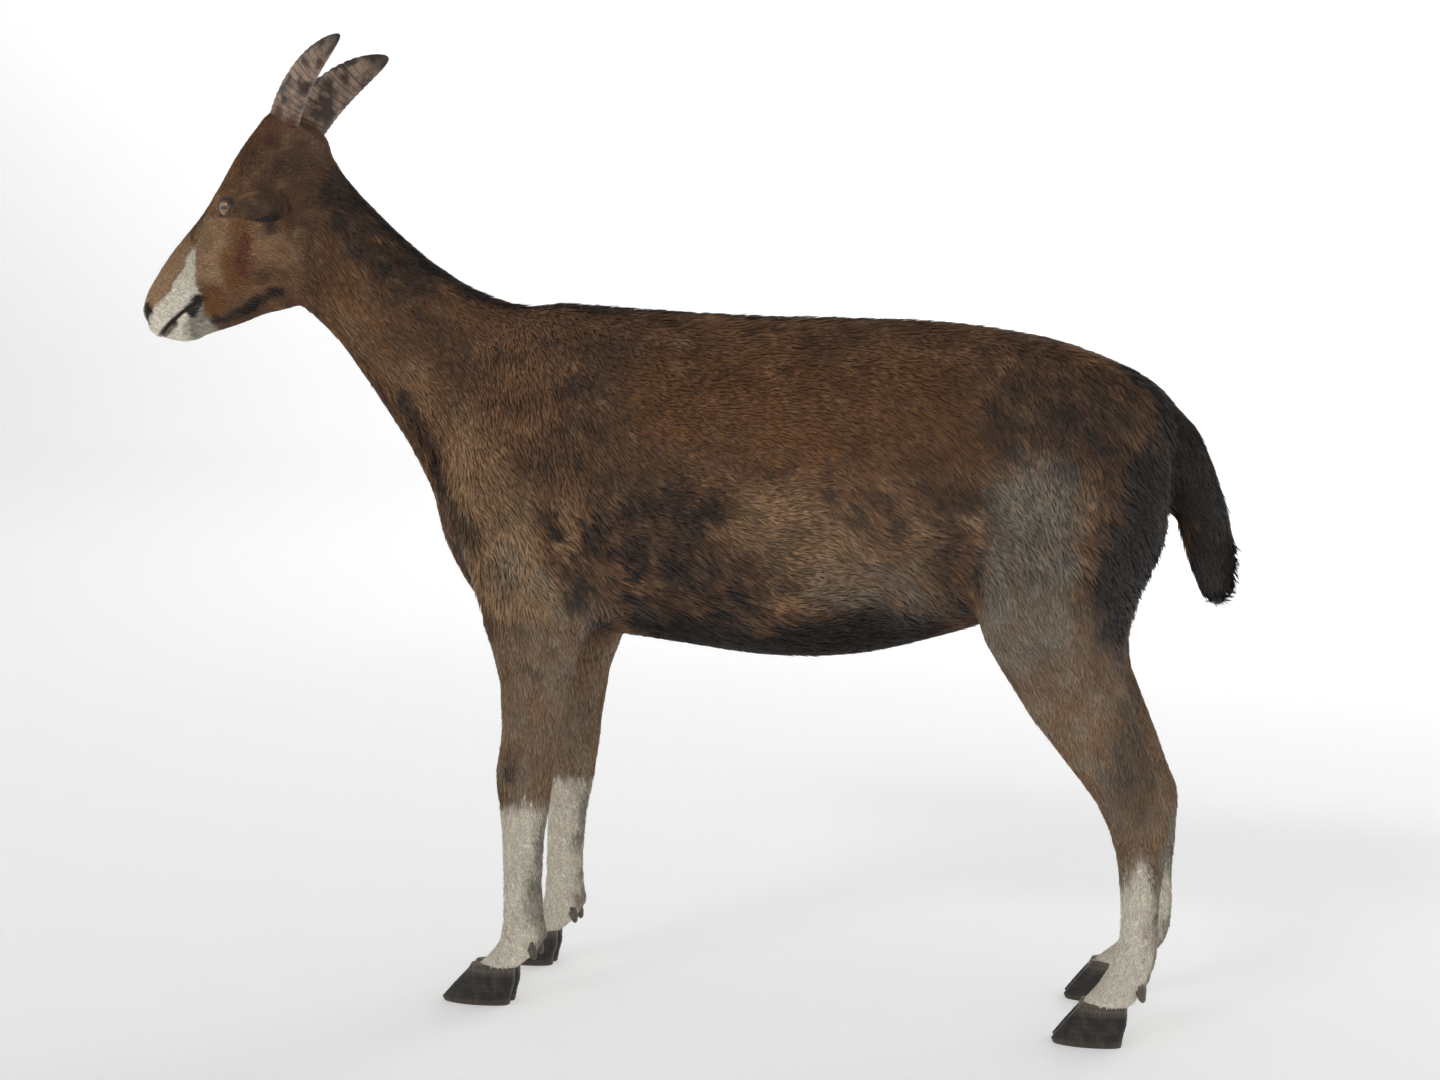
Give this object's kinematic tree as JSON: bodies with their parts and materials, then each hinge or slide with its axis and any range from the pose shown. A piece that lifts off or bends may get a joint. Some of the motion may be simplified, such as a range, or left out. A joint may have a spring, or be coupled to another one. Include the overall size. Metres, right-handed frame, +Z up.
{
  "type": "goat",
  "caption": "Standing short-coated brown goat with pale lower legs, short curved horns, sideways ears and a hanging tail.",
  "frame": {"origin": "middle of the model's bounding box in X and Y, on the floor under the hooves", "axes": "+Z up, -Y towards the nose, +Y towards the tail, +X to the goat's left"},
  "size_m": [0.2956, 1.1924, 1.0242],
  "materials": {
    "coat": "short flat hair, brown with a dark back line, grey-beige flanks and cream lower legs",
    "horn": "satin horn with cross ridges, reddish at the root and dark at the tip",
    "hoof": "dry dark grey horn with faint growth lines",
    "eye": "wet and glossy, amber with a level slot pupil"
  },
  "bodies": {
    "root": {"head": "coat", "neck": "coat", "trunk": "coat", "tail": "coat", "leg_front_left": "coat", "claw_front_left_outer": "hoof", "dewclaw_front_left_outer": "hoof", "claw_front_left_inner": "hoof", "dewclaw_front_left_inner": "hoof", "leg_front_right": "coat", "claw_front_right_outer": "hoof", "dewclaw_front_right_outer": "hoof", "claw_front_right_inner": "hoof", "dewclaw_front_right_inner": "hoof", "leg_hind_left": "coat", "claw_hind_left_outer": "hoof", "dewclaw_hind_left_outer": "hoof", "claw_hind_left_inner": "hoof", "dewclaw_hind_left_inner": "hoof", "leg_hind_right": "coat", "claw_hind_right_outer": "hoof", "dewclaw_hind_right_outer": "hoof", "claw_hind_right_inner": "hoof", "dewclaw_hind_right_inner": "hoof", "ear_left": "coat", "eye_left": "eye", "horn_left": "horn", "ear_right": "coat", "eye_right": "eye", "horn_right": "horn"}
  },
  "joints": []
}
